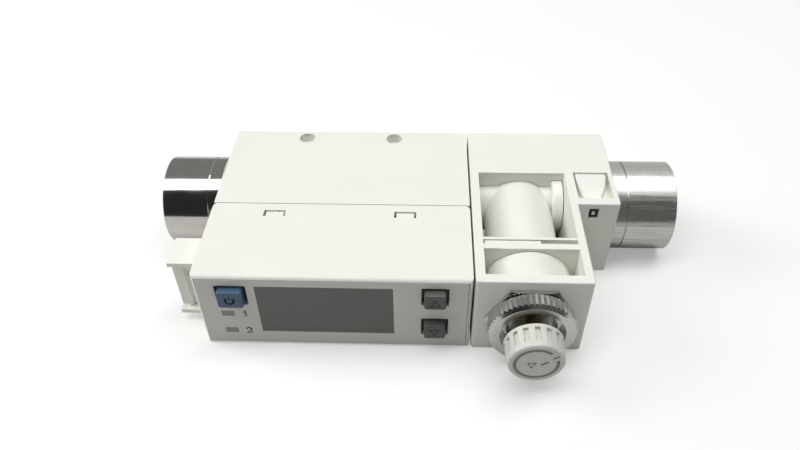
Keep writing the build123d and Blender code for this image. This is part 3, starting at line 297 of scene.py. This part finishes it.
def shell(name, shape, finish, body, bevel=0.0, smooth_over=35):
    """Make a piece of a bmesh, soften its edges and let it ride on a body."""
    bmesh.ops.remove_doubles(shape, verts=shape.verts, dist=1e-7)
    bmesh.ops.recalc_face_normals(shape, faces=shape.faces)
    made = new_object(name, shape, finish)
    if bevel:
        edge = made.modifiers.new("edge", "BEVEL")
        edge.width = bevel * MM
        edge.segments = 2
        edge.limit_method = "ANGLE"
        edge.angle_limit = math.radians(40)
    for face in made.data.polygons:
        face.use_smooth = True
    made.data.set_sharp_from_angle(angle=math.radians(smooth_over))
    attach(made, body)
    return made


def corners(shape, points):
    """Add points in mm to a bmesh."""
    return [shape.verts.new([part * MM for part in point]) for point in points]


def skin(shape, rows, looped=False, capped=False):
    """Join rows of corners with faces, all the way round each row."""
    for here, after in zip(rows, rows[1:] + rows[:1] if looped else rows[1:]):
        for index in range(len(here)):
            following = (index + 1) % len(here)
            shape.faces.new((here[index], here[following], after[following], after[index]))
    if capped:
        shape.faces.new(rows[0])
        shape.faces.new(rows[-1])


def around(centre, axis, along, radius, angle):
    """A point at an angle round an axis along X or Y."""
    side, up = centre[0] + radius * math.cos(angle), centre[1] + radius * math.sin(angle)
    return (along, side, up) if axis == "X" else (side, along, up)


def lathe(name, profile, centre, axis, finish, body, steps=128, **options):
    """Turn a closed profile of (along, radius) pairs in mm about an axis.

    The profile may be a function of the angle, for a nut's corners.
    """
    shape = bmesh.new()
    rings = []
    for step in range(steps):
        angle = 2 * math.pi * step / steps
        pairs = profile(angle) if callable(profile) else profile
        rings.append(corners(shape, [around(centre, axis, *pair, angle) for pair in pairs]))
    skin(shape, rings, looped=True)
    return shell(name, shape, finish, body, **options)


def helix(name, radius, height, pitch, start, turns, centre, axis, finish, body, steps=48):
    """Wind a thread's ridge on a wall; a negative height points to the axis."""
    shape = bmesh.new()
    root = radius - thread_sink * math.copysign(1, height)
    sections = []
    for step in range(int(turns * steps) + 1):
        turn = step / steps
        crest = radius + height * min(1.0, 4 * turn, 4 * (turns - turn))
        rise, fall = (-thread_foot, root), (thread_foot, root)
        ridge = (rise, (-thread_crest, crest), (thread_crest, crest), fall)
        sections.append(corners(shape, [
            around(centre, axis, start + pitch * (turn + offset), reach, 2 * math.pi * turn)
            for offset, reach in ridge
        ]))
    skin(shape, sections, capped=True)
    shell(name, shape, finish, body)


def plate(name, outline, low, high, axis, finish, body, **options):
    """Give an outline in mm a thickness: along Y for one over X and Z, along Z over X and Y."""
    shape = bmesh.new()
    levels = [
        corners(shape, [(a, level, b) if axis == "Y" else (a, b, level) for a, b in outline])
        for level in (low, high)
    ]
    skin(shape, levels, capped=True)
    shell(name, shape, finish, body, **options)


def upright(middle, low, high, low_half, high_half):
    """Four corners about a middle line, with a half width below and one above."""
    return [
        (middle - low_half, low),
        (middle + low_half, low),
        (middle + high_half, high),
        (middle - high_half, high),
    ]


def strokes(name, lines, width, y, finish, body, proud=0.03):
    """Lay lines in mm over X and Z on a face at y, as a thin film of paint."""
    shape = bmesh.new()
    for line in lines:
        for (x0, z0), (x1, z1) in zip(line, line[1:]):
            along = Vector((x1 - x0, z1 - z0)).normalized() * width / 2
            across = Vector((-along.y, along.x))
            start = Vector((x0, z0)) - along
            end = Vector((x1, z1)) + along
            outline = (start - across, end - across, end + across, start + across)
            back, front = (
                corners(shape, [(c.x, level, c.y) for c in outline]) for level in (y, y - proud)
            )
            shape.faces.new(front)
            skin(shape, [back, front])
    bmesh.ops.recalc_face_normals(shape, faces=shape.faces)
    made = new_object(name, shape, finish)
    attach(made, body)


def arc(centre, radius, start, end, steps=24):
    """Points on a circle, from one angle in degrees to another."""
    angles = [math.radians(start + (end - start) * step / steps) for step in range(steps + 1)]
    return [(centre[0] + radius * math.cos(a), centre[1] + radius * math.sin(a)) for a in angles]


def edges(name):
    """A node's box at rest in mm: x0, y0, z0, x1, y1, z1."""
    low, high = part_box(name)
    return [part / MM for part in (*low, *high)]


# %% [markdown]
# ## Fittings with their threads
#
# The two ports are turned again here with finer facets and a crisper outer rim than the solids
# have, and their threads are wound inside. Both threads follow the quarter-inch pitch. A fine
# line is turned round each fitting, 3 mm from the body.

# %% Turn the two fittings and wind their threads
flow_axis = (0.0, 0.0)
outer_radius, rim, port_radius, port_depth, port_chamfer = 10.0, 0.15, 5.7, 11.0, 0.8
line_width, line_depth = 0.35, 0.3
thread_pitch, thread_height, thread_turns = 1.337, 0.38, 6.6
thread_from_mouth, thread_from_floor = 0.9, 1.6


def fitting(name, node, mouth, inward, groove, shoulder, plug, plug_radius, passage, finish):
    """Turn one fitting; inward is +1 or -1, the way from its mouth into the switch."""
    floor = mouth + inward * (port_chamfer + port_depth)
    groove_end = groove + inward * line_width
    profile = [
        (mouth, port_radius + port_chamfer),
        (mouth, outer_radius - rim),
        (mouth + inward * rim, outer_radius),
        (groove, outer_radius),
        (groove, outer_radius - line_depth),
        (groove_end, outer_radius - line_depth),
        (groove_end, outer_radius),
        (shoulder, outer_radius),
        (shoulder, plug_radius),
        (plug, plug_radius),
        (plug, passage),
        (floor, passage),
        (floor, port_radius),
        (mouth + inward * port_chamfer, port_radius),
    ]
    piece = lathe(name, profile, flow_axis, "X", finish, "housing", steps=160)
    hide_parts(node)
    start = mouth + thread_from_mouth if inward > 0 else floor + thread_from_floor
    wound = (port_radius, -thread_height, thread_pitch, start, thread_turns)
    helix(name + "_thread", *wound, flow_axis, "X", finish, "housing")


inlet = edges("inlet_fitting")
outlet = edges("outlet_fitting")
collar = edges("flow_body")[0]
block_end = edges("valve_housing")[3]
line_to_body = 3.0
inlet_plug_radius, inlet_passage = 6.15, 4.0
outlet_plug_radius, outlet_passage = 4.85, 3.0
inlet_run = (inlet[0], 1, collar - line_to_body, collar, inlet[3])
outlet_run = (outlet[3], -1, block_end + line_to_body, block_end, outlet[0])
inlet_bore = (inlet_plug_radius, inlet_passage)
outlet_bore = (outlet_plug_radius, outlet_passage)
fitting("inlet_port", "inlet_fitting", *inlet_run, *inlet_bore, bright_nickel)
fitting("outlet_port", "outlet_fitting", *outlet_run, *outlet_bore, streaked_nickel)

# %% [markdown]
# ## The adjusting valve's front
#
# The panel nut is a thin hexagon with its corners to the left and right, and a turned chamfer
# takes them off. The stem behind the knob carries a fine thread.

# %% Make the nut and the stem's thread
tower = edges("valve_housing")
ring = edges("lock_ring")
knob_axis = ((ring[0] + ring[3]) / 2, 0.0)
nut = edges("panel_nut")
nut_flats, nut_corner, nut_chamfer, chamfer_length = 15.8, 9.12, 8.45, 0.35
guide_radius = 6.4


def nut_profile(angle):
    """The nut's outline at one angle: a hexagon, cut back by a cone at its front corners."""
    from_flat = math.radians(math.degrees(angle) % 60 - 30)
    reach = nut_flats / 2 / math.cos(from_flat)
    front = min(reach, nut_chamfer)
    chamfer = chamfer_length * (reach - front) / (nut_corner - nut_chamfer) + 0.001
    return [
        (nut[1], guide_radius),
        (nut[1], front),
        (nut[1] + chamfer, reach),
        (nut[4], reach),
        (nut[4], guide_radius),
    ]


turned = {"steps": 144, "smooth_over": 20}
hexagon = lathe("hexagon_nut", nut_profile, knob_axis, "Y", turned_nickel, "housing", **turned)
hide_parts("panel_nut")
stem_radius, stem_ridge, stem_pitch, stem_turns = 2.0, 0.2, 0.75, 0.9
wound = (stem_radius, -stem_ridge, stem_pitch, ring[1] + 1.0, stem_turns)
helix("stem_thread", *wound, knob_axis, "Y", brass_tinned, "needle")
print("nut", nut[1], "to", nut[4])

# %% [markdown]
# ## Printed marks
#
# The panel has plain figures beside its two lamps, and the keys have a ring and two open
# triangles. The knob's face has a broad open ring and pointers.

# %% Print the panel, the keys and the knob
print_grey = moulded("print_grey", (0.20, 0.20, 0.19), 0.6)
print_dark = moulded("print_dark", (0.035, 0.04, 0.045), 0.6)
print_groove = moulded("print_groove", (0.22, 0.22, 0.205), 0.6)
panel_y = edges("display_panel")[1]
figure_x, figure_height, figure_width = 22.1, 1.5, 0.28
for number, lens in enumerate(("indicator_lens_1", "indicator_lens_2"), start=1):
    lens_box = edges(lens)
    z = (lens_box[2] + lens_box[5]) / 2
    low, high = z - figure_height / 2, z + figure_height / 2
    if number == 1:
        lines = [[(figure_x - 0.3, high - 0.35), (figure_x, high), (figure_x, low)]]
    else:
        bend = arc((figure_x, high - 0.45), 0.45, 170, -35, 8)
        lines = [[*bend, (figure_x - 0.45, low), (figure_x + 0.5, low)]]
    strokes(f"figure_{number}", lines, figure_width, panel_y, print_grey, "housing")


def triangle(x, z, half, up):
    """An open triangle about a point, with its tip up or down."""
    tip = half if up else -half
    return [(x - half, z - tip), (x, z + tip * 0.9), (x + half, z - tip), (x - half, z - tip)]


for arrow_key, mark_z, up in (("up_button", 5.2, True), ("down_button", -3.6, False)):
    key_box = edges(arrow_key)
    mark = triangle((key_box[0] + key_box[3]) / 2, mark_z, 0.85, up)
    strokes(arrow_key + "_mark", [mark], 0.26, key_box[1], print_dark, arrow_key)
set_box = edges("set_button")
ring_x = (set_box[0] + set_box[3]) / 2
ring_z, ring_radius, bar_low, bar_high = 4.85, 0.85, 5.15, 6.0
ring_mark = [
    arc((ring_x, ring_z), ring_radius, 130, 410, 20),
    [(ring_x, bar_low), (ring_x, bar_high)],
]
strokes("set_button_mark", ring_mark, 0.3, set_box[1], print_dark, "set_button")

knob_box = edges("knob")
knob_x = knob_axis[0]
groove_radius, groove_half, groove_from, groove_to = 4.0, 0.28, 50, 370
groove = [
    *arc((knob_x, 0.0), groove_radius + groove_half, groove_from, groove_to, 60),
    *arc((knob_x, 0.0), groove_radius - groove_half, groove_to, groove_from, 60),
]
knob_y = knob_box[1]
plate("knob_groove_mark", groove, knob_y - 0.03, knob_y + 0.02, "Y", print_groove, "knob")
pointers = [
    [(knob_x + 1.0, -0.15), (knob_x + 2.0, 0.5)],
    [(knob_x + 3.1, 1.8), (knob_x + 3.8, 2.25)],
]
strokes("knob_pointers", pointers, 0.45, knob_y, print_grey, "knob")
knob_sign = triangle(knob_x - 0.85, -0.5, 0.75, False)
strokes("knob_triangle", [knob_sign], 0.22, knob_y, print_groove, "knob")
print("marks printed")

# %% [markdown]
# ## The well, the key and the seam
#
# The well's rear wall reaches down to the saddle round the valve body. The outlet key is
# narrower in front than behind, so its sleeve shows on both sides. A dark line marks the seam
# between the front case and the flow body.

# %% Close the rear wall, shape the key and draw the seam
wall_left, wall_front, wall_back = tower[0] + 1.7, -1.28, -0.1
saddle_radius, wall_low, wall_high = 7.72, 6.25, 8.6
collar_left = wall_left + 16.6
meet = math.degrees(math.acos(wall_low / saddle_radius))
wall = [
    (wall_left, wall_low),
    *arc((knob_x, 0.0), saddle_radius, 90 + meet, 90 - meet, 24),
    (collar_left, wall_low),
    (collar_left, wall_high),
    (wall_left, wall_high),
]
plate("well_rear_wall", wall, wall_front, wall_back, "Y", white_case, "housing")

key = edges("outlet_key")
key_back, key_front = key[4], key[4] - 8.3
key_low, key_top, key_front_top = 6.4, key[5] + 0.1, 8.2
key_gap, left_pull, left_slant, right_pull, right_slant = 0.15, 1.15, 0.25, 2.2, 0.4
shape = bmesh.new()
key_levels = []
for share in (0, 0.25, 0.5, 0.75, 1):
    y = key_back + (key_front - key_back) * share
    bow = share * share
    left = key[0] + key_gap + left_pull * bow + left_slant * share
    right = key[3] - key_gap - right_pull * bow - right_slant * share
    top = key_top + (key_front_top - key_top) * bow
    outline = ((left, y, key_low), (right, y, key_low), (right, y, top), (left, y, top))
    key_levels.append(corners(shape, outline))
skin(shape, key_levels, capped=True)
thumb = shell("thumb_key", shape, white_satin, "housing", bevel=0.3)
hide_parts("outlet_key")
sleeve_low, sleeve_high, sleeve_reach = 6.9, 7.9, 0.8
sleeve_half = (key[3] - key[0]) / 2 + 0.2
key_middle = (key[0] + key[3]) / 2
sleeve = upright(key_middle, key_front - sleeve_reach, key_back, sleeve_half, sleeve_half)
plate("key_sleeve", sleeve, sleeve_low, sleeve_high, "Z", white_satin, "housing")

window_x, window_z, step_y = tower[0] + 26.1, 7.3, -11.6
recess_shade = moulded("recess_shade", (0.035, 0.035, 0.03), 0.7)
shade_high, shade_wide = 1.4, 1.05
shade = upright(window_x, window_z - shade_high, window_z + shade_high, shade_wide, shade_wide)
plate("catch_shade", shade, step_y + 0.55, step_y + 0.75, "Y", recess_shade, "housing")
tip = upright(window_x, window_z - 0.5, window_z + 0.3, 0.35, 0.3)
plate("catch_tip", tip, step_y + 0.25, step_y + 0.6, "Y", white_satin, "housing", bevel=0.1)

case = edges("front_case")
seam_y, seam_half, proud = case[4], 0.09, 0.012
seam_shade = moulded("seam_shade", (0.22, 0.22, 0.20), 0.7)
left, low, right, high = case[0] - proud, case[2] - proud, case[3] + proud, case[5] + proud
shape = bmesh.new()
skin(shape, [
    corners(shape, [(left, y, low), (right, y, low), (right, y, high), (left, y, high)])
    for y in (seam_y - seam_half, seam_y + seam_half)
])
shell("seam_line", shape, seam_shade, "housing")
print("well, key and seam done")

# %% [markdown]
# ## Light, floor and reflection cards
#
# A long soft lamp hangs overhead, so top faces are nearly white and upright faces are lit
# mostly by the floor. A smaller lamp at the left lights the end with the connector, and the
# white surroundings fill in a little. The floor shows the camera more light than it gives the
# switch. Bright metal shows whatever stands round it. Cards that only reflections
# see give it the bands of a real room: dark in front, where the photographer stands, and
# grey behind. The right half of the room is lighter than the left.

# %% Hang the lamp and lay the floor
def lamp(name, place, aim, size_x, size_y, power):
    """A rectangular soft lamp that looks at a point."""
    bpy.ops.object.light_add(type="AREA", location=place)
    made = bpy.context.object
    made.name = name
    made.data.shape = "RECTANGLE"
    made.data.size = size_x
    made.data.size_y = size_y
    made.data.energy = power
    made.rotation_euler = (Vector(aim) - Vector(place)).to_track_quat("-Z", "Y").to_euler()


middle = Vector((0.055, -0.012, 0.0))
overhead_place, overhead_aim = (0.045, -0.01, 0.62), (0.055, -0.03, 0.0)
lamp("overhead_lamp", overhead_place, overhead_aim, size_x=1.0, size_y=0.26, power=4.0)
lamp("side_lamp", (-0.55, 0.10, 0.40), middle, size_x=0.35, size_y=0.35, power=2.2)

floor_z = cad_box[0][2]
bpy.ops.mesh.primitive_plane_add(size=6, location=(middle.x, middle.y, floor_z))
floor = bpy.context.object
floor.name = "floor"
floor_finish = Finish("floor_paper", Roughness=0.9, Specular_IOR_Level=0.1)
floor_finish.shader.inputs["Base Color"].default_value = rgb(0.66, 0.66, 0.65)
rays = floor_finish.tree.nodes.new("ShaderNodeLightPath")
seen = Signal(floor_finish, rays.outputs["Is Camera Ray"])
floor_finish.shader.inputs["Emission Color"].default_value = rgb(1, 1, 0.995)
floor_lift = 0.30
lift = seen * floor_lift
floor_finish.tree.links.new(lift.output, floor_finish.shader.inputs["Emission Strength"])
floor.data.materials.append(floor_finish.material)

# %% Set up the white surroundings
world = bpy.data.worlds.new("surroundings")
scene.world = world
world.use_nodes = True
tree = world.node_tree
rays = tree.nodes.new("ShaderNodeLightPath")
direct = tree.nodes.new("ShaderNodeMath")
direct.operation = "MAXIMUM"
clear = tree.nodes.new("ShaderNodeMath")
clear.operation = "MAXIMUM"
strength = tree.nodes.new("ShaderNodeMapRange")
fill_light = 0.15
strength.inputs["To Min"].default_value = fill_light
strength.inputs["To Max"].default_value = 1.0
tree.links.new(rays.outputs["Is Camera Ray"], direct.inputs[0])
tree.links.new(rays.outputs["Is Glossy Ray"], direct.inputs[1])
tree.links.new(direct.outputs[0], clear.inputs[0])
tree.links.new(rays.outputs["Is Transmission Ray"], clear.inputs[1])
tree.links.new(clear.outputs[0], strength.inputs["Value"])
background = tree.nodes["Background"]
background.inputs["Color"].default_value = rgb(1, 1, 1)
tree.links.new(strength.outputs[0], background.inputs["Strength"])


# %% Stand the cards that only reflections see
def card(name, from_degrees, to_degrees, radius, level, ends, steps=16):
    """A curved card round the flow axis; angles rise from the front over the top."""
    shape = bmesh.new()
    pairs = []
    for step in range(steps + 1):
        angle = math.radians(from_degrees + (to_degrees - from_degrees) * step / steps)
        y, z = -radius * math.cos(angle), radius * math.sin(angle)
        pairs.append([shape.verts.new((middle.x + end, y, z)) for end in ends])
    for (a, b), (c, d) in zip(pairs, pairs[1:]):
        shape.faces.new((a, b, d, c))
    paint = Finish(name, Roughness=1.0, Specular_IOR_Level=0.0)
    paint.shader.inputs["Base Color"].default_value = rgb(0, 0, 0)
    paint.shader.inputs["Emission Color"].default_value = rgb(level, level, level)
    paint.shader.inputs["Emission Strength"].default_value = 1.0
    only_in_reflections(new_object(name, shape, paint.material))


def only_in_reflections(made):
    """Hide a card from everything but glossy rays."""
    made.visible_camera = False
    made.visible_diffuse = False
    made.visible_transmission = False
    made.visible_volume_scatter = False
    made.visible_shadow = False


card_radius, card_length = 1.2, 1.6
front_span, back_span = (-2, 68), (96, 182)
halves = (("left", (-card_length, 0.0), 0.03, 0.26), ("right", (0.0, card_length), 0.11, 0.58))
for side, ends, front_level, back_level in halves:
    card(side + "_front_card", *front_span, card_radius, front_level, ends)
    card(side + "_back_card", *back_span, card_radius, back_level, ends)
bpy.ops.mesh.primitive_plane_add(size=1, location=(middle.x, -0.56, floor_z + 0.0003))
floor_card = bpy.context.object
floor_card.name = "floor_card"
floor_card.scale = (3, 0.92, 1)
floor_card.data.materials.append(bpy.data.materials["left_front_card"])
only_in_reflections(floor_card)

# %% Finish
scene.view_settings.view_transform = "Standard"
